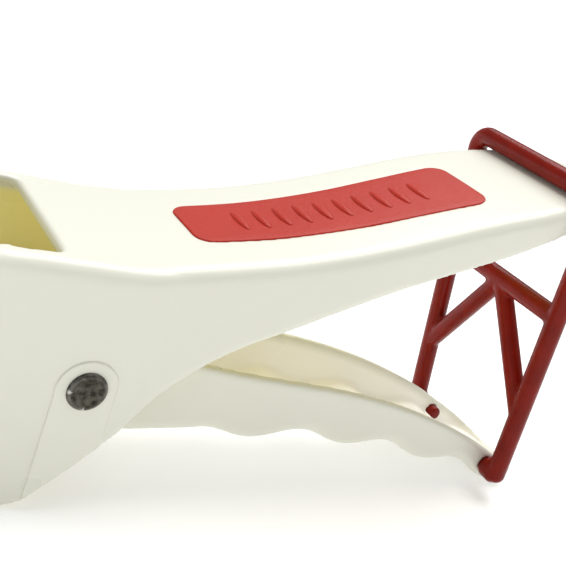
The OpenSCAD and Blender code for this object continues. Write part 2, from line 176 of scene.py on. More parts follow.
def plate(name, half, topAt, bottomAt, angle, topRound=0.0, bottomRound=0.0, sag=0.0, across=10, rows=6):
    # a closed solid over a plan that is the same on both sides; its edges are rounded all the way round
    middle = half[len(half) // 2][0]
    normals = []
    for i, point in enumerate(half):
        a, b = half[max(i - 1, 0)], half[min(i + 1, len(half) - 1)]
        n = Vector((a[1] - b[1], b[0] - a[0]))
        if point[1] < 0.01:      # on the centre line the edge faces straight along
            n = Vector((math.copysign(1, point[0] - middle), 0))
        normals.append(n.normalized())
    wide = max(p[1] for p in half)

    def ring(inset, up):
        out = []
        for point, n in zip(half, normals):
            x, y = point[0] - n.x * inset, max(point[1] - n.y * inset, 0)
            low, high = bottomAt(x), topAt(x) - sag * (y / wide) ** 2
            out.append((x, y, up(low, max(high, low + 0.02))))
        return out

    quarter = [math.radians(90 * k / rows) for k in range(rows + 1)]
    rings = []
    for a in quarter if bottomRound else [quarter[0]]:
        rings.append(ring(bottomRound * (1 - math.sin(a)),
                          lambda low, high, a=a: low + min(bottomRound, (high - low) / 2) * (1 - math.cos(a))))
    for a in quarter if topRound else [quarter[0]]:
        rings.append(ring(topRound * (1 - math.cos(a)),
                          lambda low, high, a=a: high - min(topRound, (high - low) / 2) * (1 - math.sin(a))))
    count = len(half)
    loop = count * 2 - 2
    points, faces = [], []
    for one in rings:
        points += one + [(x, -y, z) for x, y, z in reversed(one[1:-1])]
    for r in range(len(rings) - 1):
        for k in range(loop):
            a, b = r * loop + k, r * loop + (k + 1) % loop
            faces.append((a, b, b + loop, a + loop))

    def cap(one, heightOf):
        start = len(points)
        for x, y, z in one:
            for j in range(across + 1):
                yy = y * (1 - 2 * j / across)
                points.append((x, yy, heightOf(x, yy, y, z)))
        for i in range(count - 1):
            for j in range(across):
                a = start + i * (across + 1) + j
                faces.append((a, a + 1, a + across + 2, a + across + 1))

    cap(rings[0], lambda x, yy, y, z: z)
    cap(rings[-1], lambda x, yy, y, z: z + sag * ((y / wide) ** 2 - (yy / wide) ** 2))
    obj = newObject(name, fromPivot(points, angle), faces)
    return obj


def prism(name, outline, width, angle, middle=0.0):
    # a side outline (along, up) with a width across
    n = len(outline)
    points = [(x, middle + s * width / 2, z) for s in (-1, 1) for x, z in outline]
    faces = [tuple(range(n)), tuple(range(2 * n - 1, n - 1, -1))]
    faces += [(k, (k + 1) % n, n + (k + 1) % n, n + k) for k in range(n)]
    return newObject(name, fromPivot(points, angle), faces)


def disc(radius, centre=(0, 0), steps=64):
    return [(centre[0] + radius * math.cos(2 * math.pi * k / steps),
             centre[1] + radius * math.sin(2 * math.pi * k / steps)) for k in range(steps)]


def lathe(name, profile, steps=96):
    # a profile (radius, out towards the near side) turned about the pivot's axis
    points, faces = [], []
    for k in range(steps):
        a = 2 * math.pi * k / steps
        points += [(r * math.cos(a), -out, r * math.sin(a)) for r, out in profile]
    n = len(profile)
    for k in range(steps):
        for j in range(n - 1):
            a, b = k * n + j, (k + 1) % steps * n + j
            faces.append((a, b, b + 1, a + 1))
    return newObject(name, fromPivot(points, 0), faces)


def newGroup(name, inputs, outputs):
    tree = bpy.data.node_groups.new(name, "ShaderNodeTree")
    for title, kind, value in inputs:
        made = tree.interface.new_socket(title, in_out="INPUT", socket_type=kind)
        made.default_value = value
    for title, kind in outputs:
        tree.interface.new_socket(title, in_out="OUTPUT", socket_type=kind)
    return tree, tree.nodes.new("NodeGroupInput"), tree.nodes.new("NodeGroupOutput")


def mouldedGroup():
    # slow flow marks and a fine grain, as on moulded plastic
    tree, given, out = newGroup(
        "mouldedSurface",
        [("Cloud Scale", "NodeSocketFloat", 40.0), ("Grain Scale", "NodeSocketFloat", 1800.0),
         ("Light", "NodeSocketColor", (1, 1, 1, 1)), ("Dark", "NodeSocketColor", (0.9, 0.9, 0.9, 1)),
         ("Smooth", "NodeSocketFloat", 0.3), ("Dull", "NodeSocketFloat", 0.4)],
        [("Color", "NodeSocketColor"), ("Roughness", "NodeSocketFloat"), ("Height", "NodeSocketFloat")])
    link = tree.links.new
    where = tree.nodes.new("ShaderNodeTexCoord")
    cloud = tree.nodes.new("ShaderNodeTexNoise")
    cloud.inputs["Detail"].default_value = 3
    grain = tree.nodes.new("ShaderNodeTexNoise")
    grain.inputs["Detail"].default_value = 4
    link(where.outputs["Object"], cloud.inputs["Vector"])
    link(where.outputs["Object"], grain.inputs["Vector"])
    link(given.outputs["Cloud Scale"], cloud.inputs["Scale"])
    link(given.outputs["Grain Scale"], grain.inputs["Scale"])
    blend = tree.nodes.new("ShaderNodeMix")
    blend.data_type = "RGBA"
    link(cloud.outputs["Fac"], blend.inputs["Factor"])
    link(given.outputs["Light"], blend.inputs[6])
    link(given.outputs["Dark"], blend.inputs[7])
    link(blend.outputs[2], out.inputs["Color"])
    rough = tree.nodes.new("ShaderNodeMapRange")
    link(cloud.outputs["Fac"], rough.inputs["Value"])
    link(given.outputs["Smooth"], rough.inputs["To Min"])
    link(given.outputs["Dull"], rough.inputs["To Max"])
    link(rough.outputs["Result"], out.inputs["Roughness"])
    link(grain.outputs["Fac"], out.inputs["Height"])
    return tree


def edgeMaskGroup():
    # a mask that is high on sharp edges, broken up by noise
    tree, given, out = newGroup(
        "sharpEdgeMask", [("Scale", "NodeSocketFloat", 300.0), ("Amount", "NodeSocketFloat", 0.5)],
        [("Mask", "NodeSocketFloat")])
    link = tree.links.new
    where = tree.nodes.new("ShaderNodeTexCoord")
    shape = tree.nodes.new("ShaderNodeNewGeometry")
    noise = tree.nodes.new("ShaderNodeTexNoise")
    link(where.outputs["Object"], noise.inputs["Vector"])
    link(given.outputs["Scale"], noise.inputs["Scale"])
    edge = tree.nodes.new("ShaderNodeMapRange")
    edge.inputs["From Min"].default_value = 0.52
    edge.inputs["From Max"].default_value = 0.62
    link(shape.outputs["Pointiness"], edge.inputs["Value"])
    share = tree.nodes.new("ShaderNodeMath")
    share.operation = "MULTIPLY"
    link(edge.outputs["Result"], share.inputs[0])
    link(noise.outputs["Fac"], share.inputs[1])
    scaled = tree.nodes.new("ShaderNodeMath")
    scaled.operation = "MULTIPLY"
    link(share.outputs[0], scaled.inputs[0])
    link(given.outputs["Amount"], scaled.inputs[1])
    link(scaled.outputs[0], out.inputs["Mask"])
    return tree


moulded = mouldedGroup()
edgeGroup = edgeMaskGroup()


def newMaterial(name, **sockets):
    material = bpy.data.materials.new(name)
    material.use_nodes = True
    shader = material.node_tree.nodes["Principled BSDF"]
    for title, value in sockets.items():
        shader.inputs[title.replace("_", " ")].default_value = value
    return material, material.node_tree, shader


def placeGroup(tree, group, **values):
    node = tree.nodes.new("ShaderNodeGroup")
    node.node_tree = group
    for title, value in values.items():
        node.inputs[title.replace("_", " ")].default_value = value
    return node


def addBump(tree, shader, height, strength, distance):
    bump = tree.nodes.new("ShaderNodeBump")
    bump.inputs["Strength"].default_value = strength
    bump.inputs["Distance"].default_value = distance
    tree.links.new(height, bump.inputs["Height"])
    tree.links.new(bump.outputs["Normal"], shader.inputs["Normal"])


def plastic(name, light, dark, smoothness=0.32, dull=0.42, grain=0.06, cloud=40.0, **sockets):
    material, tree, shader = newMaterial(name, **sockets)
    surface = placeGroup(tree, moulded, Light=light, Dark=dark, Smooth=smoothness, Dull=dull, Cloud_Scale=cloud)
    tree.links.new(surface.outputs["Color"], shader.inputs["Base Color"])
    tree.links.new(surface.outputs["Roughness"], shader.inputs["Roughness"])
    addBump(tree, shader, surface.outputs["Height"], grain, 0.0002)
    return material, tree, shader, surface


def paintInsideShading(tree, shader, surface, colour, paintedGlow):
    # painted shading: the hollow side of a shell takes a colour that stands in for how it is lit, painted shade
    # in the head's well and painted light in the lever's channel
    inside = tree.nodes.new("ShaderNodeAttribute")
    inside.attribute_name = "inside"
    blend = tree.nodes.new("ShaderNodeMix")
    blend.data_type = "RGBA"
    blend.inputs[7].default_value = colour
    tree.links.new(inside.outputs["Fac"], blend.inputs["Factor"])
    tree.links.new(surface.outputs["Color"], blend.inputs[6])
    tree.links.new(blend.outputs[2], shader.inputs["Base Color"])
    # a painted glow: emission that stands in for light coming through the thin walls
    through = tree.nodes.new("ShaderNodeMath")
    through.operation = "MULTIPLY"
    through.inputs[1].default_value = paintedGlow
    tree.links.new(inside.outputs["Fac"], through.inputs[0])
    tree.links.new(through.outputs[0], shader.inputs["Emission Strength"])
    shader.inputs["Emission Color"].default_value = colour


# white plastic with painted shading and a painted glow on its hollow side
def whitePlastic(name, insideColour, paintedGlow):
    material, tree, shader, surface = plastic(
        name, (0.755, 0.755, 0.655, 1), (0.73, 0.73, 0.627, 1), 0.24, 0.34, 0.05, Specular_IOR_Level=0.45)
    paintInsideShading(tree, shader, surface, insideColour, paintedGlow)
    return material


def metal(name, light, dark, smoothness=0.25, dull=0.42, streak=(1, 1, 1), scale=500.0, bump=0.2, edgeLighten=0.0):
    material, tree, shader = newMaterial(name, Metallic=1.0)
    link = tree.links.new
    where = tree.nodes.new("ShaderNodeTexCoord")
    stretch = tree.nodes.new("ShaderNodeMapping")
    stretch.inputs["Scale"].default_value = streak
    noise = tree.nodes.new("ShaderNodeTexNoise")
    noise.inputs["Scale"].default_value = scale
    noise.inputs["Detail"].default_value = 5
    link(where.outputs["Object"], stretch.inputs["Vector"])
    link(stretch.outputs["Vector"], noise.inputs["Vector"])
    ramp = tree.nodes.new("ShaderNodeValToRGB")
    ramp.color_ramp.elements[0].color = dark
    ramp.color_ramp.elements[0].position = 0.35
    ramp.color_ramp.elements[1].color = light
    ramp.color_ramp.elements[1].position = 0.68
    link(noise.outputs["Fac"], ramp.inputs["Fac"])
    rough = tree.nodes.new("ShaderNodeMapRange")
    rough.inputs["To Min"].default_value = smoothness
    rough.inputs["To Max"].default_value = dull
    link(noise.outputs["Fac"], rough.inputs["Value"])
    link(rough.outputs["Result"], shader.inputs["Roughness"])
    addBump(tree, shader, noise.outputs["Fac"], bump, 0.0001)
    # sharp edges are blended towards a pale grey
    if edgeLighten:
        edges = placeGroup(tree, edgeGroup, Scale=scale, Amount=edgeLighten)
        blend = tree.nodes.new("ShaderNodeMix")
        blend.data_type = "RGBA"
        blend.inputs[7].default_value = (0.8, 0.79, 0.76, 1)
        link(edges.outputs["Mask"], blend.inputs["Factor"])
        link(ramp.outputs["Color"], blend.inputs[6])
        link(blend.outputs[2], shader.inputs["Base Color"])
    else:
        link(ramp.outputs["Color"], shader.inputs["Base Color"])
    return material


# painted shade: the head's hollow turns a darker khaki where it lies in shade, and glows a little
shellWhite = whitePlastic("shellWhite", (0.80, 0.72, 0.29, 1), 0.13)
# painted light: the lever's shaded channel is made brighter than its outside, and glows a little
leverWhite = whitePlastic("leverWhite", (0.90, 0.885, 0.82, 1), 0.11)
pusherWhite = plastic("pusherWhite", (0.82, 0.80, 0.70, 1), (0.78, 0.76, 0.64, 1))[0]
frameGrey = plastic("frameGrey", (0.70, 0.70, 0.66, 1), (0.64, 0.64, 0.60, 1), 0.45, 0.6, 0.12)[0]
bushGrey = plastic("bushGrey", (0.42, 0.42, 0.40, 1), (0.36, 0.36, 0.34, 1), 0.4, 0.55, 0.1)[0]
panelRed = plastic("panelRed", (0.46, 0.030, 0.016, 1), (0.40, 0.024, 0.012, 1), 0.26, 0.38, 0.45, 90.0,
                   Specular_IOR_Level=0.14)[0]
bailRed = plastic("bailRed", (0.24, 0.010, 0.003, 1), (0.12, 0.005, 0.002, 1), 0.12, 0.24, 0.35, 160.0,
                  Specular_IOR_Level=0.14)[0]
# the pin's sharp edges are lightened towards a pale grey
pinSteel = metal("pinSteel", (0.10, 0.095, 0.075, 1), (0.02, 0.019, 0.015, 1), 0.28, 0.5,
                 scale=900.0, bump=0.5, edgeLighten=0.9)
bladeSteel = metal("bladeSteel", (0.78, 0.79, 0.80, 1), (0.55, 0.56, 0.57, 1), 0.18, 0.34, (0.08, 1, 1), 2500.0)
screwSteel = metal("screwSteel", (0.80, 0.80, 0.80, 1), (0.62, 0.62, 0.62, 1), 0.14, 0.26)
springSteel = metal("springSteel", (0.62, 0.62, 0.62, 1), (0.42, 0.42, 0.43, 1), 0.22, 0.36)
print("materials ready")


def finishPiece(obj, material, bodyName, slotName, *nodes):
    obj.data.materials.clear()
    obj.data.materials.append(material)
    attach(obj, bodyName)
    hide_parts(*nodes)
    return obj


def limited(value):
    return max(0.0, min(1.0, value))


# stores where the painted shading goes on a shell
def markInsideShading(obj, test):
    attribute = obj.data.attributes.new("inside", "FLOAT", "POINT")
    attribute.data.foreach_set("value", [test(v.co) for v in obj.data.vertices])


panel = {
    "start": 27.0, "length": 71.0, "near": 9.1, "far": 11.1, "corner": 4.0,
    "thick": 1.45,
    "proud": 0.32,
    "brim": 1.0,                 # the brim reaches this far past the stem
    "brimThick": 0.35, "stemTop": 0.2,
    "lap": 0.15,                 # pocket's room round the stem
    "edgeRound": 0.3, "sag": 0.12,
    "ribCount": 10, "ribFrom": 40.0, "ribTo": 85.0, "ribLong": 9.6, "ribWide": 2.3, "ribHigh": 0.6,
    "ribSunk": 0.05,
}
crownLine = smoothed(crown)


def panelHalf(inset, p=panel):
    a, b = p["start"] + inset, p["start"] + p["length"] - inset
    near, far, r = p["near"] - inset, p["far"] - inset, p["corner"] - inset * 0.5
    turns = [math.radians(9 * k) for k in range(11)]
    start = [(a + r - r * math.sin(t), near - r + r * math.cos(t)) for t in reversed(turns)]
    end = [(b - r + r * math.sin(t), far - r + r * math.cos(t)) for t in turns]
    return resampled([(a, 0)] + start + end + [(b, 0)], 1.5)


upper = {
    "halfWell": 32.0,
    "wellToPivot": 41.5,
    "neck": 17.6,                # half width of the well at the pivot end
    "wellWide": 23.8,            # half width at its widest
    "rimTop": 27.1,
    "rimDepth": 4.0,
    "rimOverhang": 2.2,
    "wall": 2.6,
    "topThick": 2.8,
    "handleHalf": 22.0,
    "swell": 0.9,
    "noseIn": 1.9,
    "edgeRound": 2.7,
    "skirtRound": 0.6,
    "sag": 0.3,
    "pad": 6.3,
    "padHigh": 0.45,
    "padSunk": 1.2,
    "padEdge": 0.38,
    "padFoot": 0.8,              # pad ends this far above the skirt
    "skirtStart": -12.5,         # where the flat lower edge ends
    "hollowStep": -9.5,          # where the hollow's ceiling starts to follow the crown
    "hollowRound": 1.2,
    "bore": 2.55,
    "voxel": 0.78,
    "shadeFromWall": (1.3, 0.9),  # the painted inner shade starts here and is full after this
    "shadeStep": -6.0,            # the rim's depth applies before this, the crown's after it
    "shadeBelowRim": 3.2,
    "shadeBelowCrown": 1.5,
    "shadeFade": 1.2,
}
past = 80        # width of a cutter that goes right through
clear = 60       # height of a cutter's ends above and below
crownLevel = turned(crownLine, handleRise)
skirtLevel = turned(smoothed(skirt), handleRise)
noseEnd = turned([noseTip], handleRise)[0][0]
barCross = turned([barAt], handleRise)[0][0]


def wellHalf(grow, u=upper):
    # the well's outline on one side, from front to back, about the pivot
    h, w = u["halfWell"], u["wellWide"]
    curve = smoothed([(-h - 0.6 - grow, 0.0), (-h - grow, w - 15), (-0.9 * h - 0.6 * grow, w - 6 + 0.8 * grow),
                      (-0.62 * h, w - 1.2 + grow), (-0.25 * h, w + grow), (0.25 * h, w - 2 + grow),
                      (0.7 * h, u["neck"] + 0.5 + grow)])
    curve.append((h + grow, u["neck"] + grow))
    return [(x - u["wellToPivot"], max(y, 0)) for x, y in curve]


def shellHalf(inset, u=upper):
    # plan of head and handle on one side
    grow = u["rimOverhang"] + u["wall"] - inset
    head = [p for p in wellHalf(grow) if p[0] < u["halfWell"] * 0.6 - u["wellToPivot"]]
    side = u["handleHalf"] - inset
    rest = smoothed([(-15, side + u["swell"]), (8, side + u["swell"]), (17, side - 0.4), (50, side - 0.3),
                     (noseEnd - 42, side), (barCross - 9, side - 0.5), (barCross, side - u["noseIn"]),
                     (noseEnd - 12, side - 4.6), (noseEnd - 5, side - 9),
                     (noseEnd - 1 - inset * 0.9, side - 15), (noseEnd - inset, 0)])
    return resampled(head + rest, 1.6)


def shellTop(x):
    return min(heightAt(crownLevel, x), upper["rimTop"]) if x < 0 else heightAt(crownLevel, x)


def shellBottom(x):
    return heightAt([(upper["skirtStart"], -pivot.z / mm)] + skirtLevel, x)


def makePads(u=upper):
    # round pads about the pin on both sides, running down to the skirt
    thick = u["swell"] + u["padHigh"] + u["padSunk"]
    arch = [(u["pad"] * math.cos(a), u["pad"] * math.sin(a))
            for a in [math.radians(180 * k / 40) for k in range(41)]]
    drop = [(p, shellBottom(p) + u["padFoot"]) for p in (-u["pad"], -u["pad"] / 2, 0, u["pad"] / 2, u["pad"])]
    outline = arch + turned(drop, -handleRise)
    middle = u["handleHalf"] + u["swell"] + u["padHigh"] - thick / 2
    pads = [prism("pad", outline, thick, handleRise, s * middle) for s in (-1, 1)]
    for pad in pads:
        edge = pad.modifiers.new("edge", "BEVEL")
        edge.width = u["padEdge"] * mm
        edge.segments = 3
        edge.limit_method = "ANGLE"
        edge.angle_limit = math.radians(40)
        settle(pad)
    return pads


def makeUpperBody(u=upper):
    outer = plate("upperShell", shellHalf(0), shellTop, shellBottom, 0,
                  topRound=u["edgeRound"], bottomRound=u["skirtRound"], sag=u["sag"])
    hollowTop = u["rimTop"] - u["rimDepth"]
    inner = plate("hollow", shellHalf(u["wall"]),
                  lambda x: hollowTop if x < u["hollowStep"] else heightAt(crownLevel, x) - u["topThick"],
                  lambda x: -clear, 0, topRound=u["hollowRound"], rows=3)
    combine(outer, inner)
    well = plate("well", resampled(wellHalf(0) + [(u["halfWell"] - u["wellToPivot"], 0)], 1.6),
                 lambda x: clear, lambda x: 0, 0)
    combine(outer, well)
    combine(outer, prism("bore", disc(u["bore"]), past, 0))
    combine(outer, plate("pocket", panelHalf(panel["brim"] - panel["lap"]), lambda x: clear,
                         lambda x: heightAt(crownLine, x) - panel["thick"], handleRise))
    outer = soften(outer, u["voxel"], 3)
    joined(outer, *makePads())
    plan = shellHalf(0)

    # painted shade: how deep the painted shade is inside the head and handle
    def insideOf(co):
        x, y, z = (co.x - pivot.x) / mm, abs(co.y) / mm, (co.z - pivot.z) / mm
        start, full = u["shadeFromWall"]
        low = shellTop(x) - (u["shadeBelowRim"] if x < u["shadeStep"] else u["shadeBelowCrown"]) - z
        return limited((heightAt(plan, x) - y - start) / full) * limited(low / u["shadeFade"])

    markInsideShading(outer, insideOf)
    return finishPiece(outer, shellWhite, "body", "white_shell", "upper_body")


upperShell = makeUpperBody()
print("upper body", len(upperShell.data.polygons))


def ribTree(material):
    # raised ribs set along the panel's curve
    tree = bpy.data.node_groups.new("panelRibs", "GeometryNodeTree")
    tree.interface.new_socket("Geometry", in_out="INPUT", socket_type="NodeSocketGeometry")
    for title, kind, value in (("Count", "NodeSocketInt", 9), ("Long", "NodeSocketFloat", 0.009),
                               ("Wide", "NodeSocketFloat", 0.0013), ("High", "NodeSocketFloat", 0.0004)):
        tree.interface.new_socket(title, in_out="INPUT", socket_type=kind).default_value = value
    tree.interface.new_socket("Geometry", in_out="OUTPUT", socket_type="NodeSocketGeometry")
    node, link = tree.nodes.new, tree.links.new
    given, out = node("NodeGroupInput"), node("NodeGroupOutput")
    spread = node("GeometryNodeResampleCurve")
    link(given.outputs["Geometry"], spread.inputs["Curve"])
    link(given.outputs["Count"], spread.inputs["Count"])
    asPoints = node("GeometryNodeCurveToPoints")
    asPoints.mode = "EVALUATED"
    bar = node("GeometryNodeMeshUVSphere")
    bar.inputs["Segments"].default_value = 28
    bar.inputs["Rings"].default_value = 14
    bar.inputs["Radius"].default_value = 0.5
    size = node("ShaderNodeCombineXYZ")
    link(given.outputs["Wide"], size.inputs["X"])
    link(given.outputs["Long"], size.inputs["Y"])
    link(given.outputs["High"], size.inputs["Z"])
    shaped = node("GeometryNodeTransform")
    link(bar.outputs["Mesh"], shaped.inputs["Geometry"])
    link(size.outputs["Vector"], shaped.inputs["Scale"])
    aim = node("FunctionNodeAlignRotationToVector")
    aim.axis = "X"
    aim.pivot_axis = "Y"
    tangent = node("GeometryNodeInputTangent")
    keep = node("GeometryNodeCaptureAttribute")
    keep.capture_items.new("VECTOR", "Along")
    link(spread.outputs["Curve"], keep.inputs["Geometry"])
    link(tangent.outputs["Tangent"], keep.inputs["Along"])
    link(keep.outputs["Geometry"], asPoints.inputs["Curve"])
    link(keep.outputs["Along"], aim.inputs["Vector"])
    placed = node("GeometryNodeInstanceOnPoints")
    link(asPoints.outputs["Points"], placed.inputs["Points"])
    link(shaped.outputs["Geometry"], placed.inputs["Instance"])
    link(aim.outputs["Rotation"], placed.inputs["Rotation"])
    real = node("GeometryNodeRealizeInstances")
    link(placed.outputs["Instances"], real.inputs["Geometry"])
    finish = node("GeometryNodeSetMaterial")
    finish.inputs["Material"].default_value = material
    link(real.outputs["Geometry"], finish.inputs["Geometry"])
    link(finish.outputs["Geometry"], out.inputs["Geometry"])
    return tree


def setInput(modifier, title, value):
    for item in modifier.node_group.interface.items_tree:
        if item.item_type == "SOCKET" and item.in_out == "INPUT" and item.name == title:
            modifier[item.identifier] = value


def growTree(obj, tree, **values):
    modifier = obj.modifiers.new(tree.name, "NODES")
    modifier.node_group = tree
    for title, value in values.items():
        setInput(modifier, title, value)
    bpy.context.view_layer.update()
    mesh = bpy.data.meshes.new_from_object(obj.evaluated_get(bpy.context.evaluated_depsgraph_get()))
    obj.modifiers.clear()
    for polygon in mesh.polygons:
        polygon.use_smooth = True
    return mesh


def lineObject(name, points):
    curve = bpy.data.curves.new(name, "CURVE")
    curve.dimensions = "3D"
    spline = curve.splines.new("POLY")
    spline.points.add(len(points) - 1)
    for point, co in zip(spline.points, points):
        point.co = (*co, 1)
    obj = bpy.data.objects.new(name, curve)
    scene.collection.objects.link(obj)
    return obj


def makePanel(p=panel):
    def above(high):
        return lambda x: heightAt(crownLine, x) + high

    top = above(p["proud"])
    face = plate("gripPanel", panelHalf(0), top, above(-p["brimThick"]), handleRise,
                 topRound=p["edgeRound"], rows=5, sag=p["sag"])
    stem = plate("stem", panelHalf(p["brim"]), above(-p["stemTop"]), above(0.1 - p["thick"]), handleRise)
    joined(face, stem)
    settle(face)
    finishPiece(face, panelRed, "body", "red_panel", "grip_panel")
    steps = 60
    along = [p["ribFrom"] + (p["ribTo"] - p["ribFrom"]) * k / steps for k in range(steps + 1)]
    guide = lineObject("ribLine", fromPivot([(x, 0, top(x) - p["ribSunk"]) for x in along], handleRise))
    mesh = growTree(guide, ribTree(panelRed), Count=p["ribCount"], Long=p["ribLong"] * mm,
                    Wide=p["ribWide"] * mm, High=2 * p["ribHigh"] * mm)
    bpy.data.objects.remove(guide)
    ribs = bpy.data.objects.new("panelRibs", mesh)
    scene.collection.objects.link(ribs)
    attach(ribs, "body")
    return face, ribs


gripPanel, panelRibs = makePanel()
print("grip panel")


grip = {
    "length": 141.0, "half": 14.2, "wall": 2.2, "tip": 9.0, "boss": 9.5, "squeeze": 25.0,
    "pitch": 26.4, "firstFinger": 48.2, "deep": 2.7, "bottomRound": 3.0, "topRound": 0.9,
    "armHalf": 12.0, "armReach": 27.0, "armBottom": -9.4, "voxel": 0.62,
    "channelRound": 1.6, "cutTop": 30.0, "bore": 2.6, "bushSeat": 3.7, "seatDeep": 5.2, "seatAt": 11.6,
    "footHole": 1.95, "bay": 7.2, "bayWide": 7.9, "bayAt": 8.05,
}
rimLine = smoothed([(4, 8.6), (18, 6.2), (35, 5.5), (48, 5.8), (68, 6.5), (84.8, 5.8), (100, 3.9), (114, 1.1),
                    (124, -1.7), (133, -4.4), (139, -6.6), (141, -8.0)])
hubLine = smoothed([(-9.5, -3), (-5, -10.8), (4, -13.6), (15, -13.5), (24, -12), (34, -10.05)])
tipUnder = smoothed([(130, -10.6), (134, -10.7), (138, -10.2), (140.2, -9.4), (141, -8.4)])


def gripUnder(x, g=grip):
    if x < 34:
        return heightAt(hubLine, x)
    if x > 130:
        return heightAt(tipUnder, x)
    wave = math.cos(2 * math.pi * (x - g["firstFinger"]) / g["pitch"])
    return -6.1 - 2.9 * ((x - 87) / 40) ** 2 - g["deep"] / 2 * wave


def gripTop(x, g=grip):
    if x > 4:
        return heightAt(rimLine, x)
    return math.sqrt(max(g["boss"] ** 2 - x * x, 0.01)) if x < 0 else 9.5 - 0.225 * x


def gripHalf(inset, g=grip):
    tip, half = g["tip"], g["half"] - inset
    back = g["boss"] + 1.5 if inset else -g["boss"]      # the channel starts past the boss
    turns = [math.radians(90 - 6 * k) for k in range(16)]
    front = [(g["length"] - tip + (tip - inset) * math.cos(a), half * math.sin(a)) for a in turns]
    return resampled([(back, 0), (back, half)] + front, 1.5)


def makeLowerHandle(g=grip):
    outer = plate("lowerHandle", gripHalf(0), gripTop, gripUnder, leverAngle,
                  topRound=g["topRound"], bottomRound=g["bottomRound"])
    hollow = plate("hollow", gripHalf(g["wall"]), lambda x: g["cutTop"], lambda x: gripUnder(x) + g["wall"],
                   leverAngle, bottomRound=g["channelRound"])
    combine(outer, hollow)
    arm = [(2, 5), (-4, 4), (-12, g["armBottom"] + 4.4), (-g["armReach"], g["armBottom"] + 3.4),
           (-g["armReach"], g["armBottom"]), (0, g["armBottom"] + 1.2)]
    combine(outer, prism("arm", arm, 2 * g["armHalf"], -g["squeeze"]), "UNION")
    spring = [(-3.5, 0), (-3.5, 40), (13, 40), (13, -10.7), (6, -10), (1, -7.2)]
    for outline in (spring, disc(g["bay"])):
        combine(outer, prism("bay", outline, g["bayWide"], leverAngle, g["bayAt"]))
    combine(outer, prism("bore", disc(g["bore"]), past, 0))
    for side in (-1, 1):
        combine(outer, prism("seat", disc(g["bushSeat"]), g["seatDeep"], 0, side * g["seatAt"]))
    combine(outer, prism("feet", disc(g["footHole"], footAlong), past, leverAngle))
    outer = soften(outer, g["voxel"], 2)
    turn = math.radians(leverAngle)

    # painted light: how far the lever's shaded channel is brightened, more deeper down
    def insideOf(co):
        dx, dz = (co.x - pivot.x) / mm, (co.z - pivot.z) / mm
        x, z = dx * math.cos(turn) + dz * math.sin(turn), dz * math.cos(turn) - dx * math.sin(turn)
        if x < g["boss"] or abs(co.y) / mm > g["half"] - 1.1 or z > gripTop(x) - 0.4 or z < gripUnder(x) + 1:
            return 0.0
        return min(1.0, (gripTop(x) - 0.4 - z) / 2.5)

    markInsideShading(outer, insideOf)
    return finishPiece(outer, leverWhite, "lever", "white_shell", "lower_handle")


lowerHandle = makeLowerHandle()
print("lower handle", len(lowerHandle.data.polygons))


hoop = {"rod": 2.5, "cross": 2.5, "brace": 2.42, "foot": 1.9, "footOut": 2.6, "knob": 3.0, "bend": 4.0,
        "topHalf": 23.0, "footHalf": 18.8, "crossShare": 0.605, "braceShare": 0.235, "voxel": 0.42,
        "knobGap": 0.7, "endRound": 2.4, "endSteps": (-2.35, -2.2, -1.8, -1.2, -0.6, 0)}


def tube(points, radii, steps=28):
    # points and faces of a round rod along points, with closed ends and one radius for each point
    line = [Vector(p) for p in points]
    verts, faces = [], []
    side = None
    for i, p in enumerate(line):
        along = (line[min(i + 1, len(line) - 1)] - line[max(i - 1, 0)]).normalized()
        if side is None:
            side = along.orthogonal().normalized()
        side = (side - along * side.dot(along)).normalized()
        up = along.cross(side)
        turns = [2 * math.pi * k / steps for k in range(steps)]
        verts += [tuple(p + radii[i] * (side * math.cos(t) + up * math.sin(t))) for t in turns]
    for i in range(len(line) - 1):
        for k in range(steps):
            a, b = i * steps + k, i * steps + (k + 1) % steps
            faces.append((a, b, b + steps, a + steps))
    faces.append(tuple(range(steps)))
    faces.append(tuple(range(len(verts) - 1, len(verts) - 1 - steps, -1)))
    return verts, faces


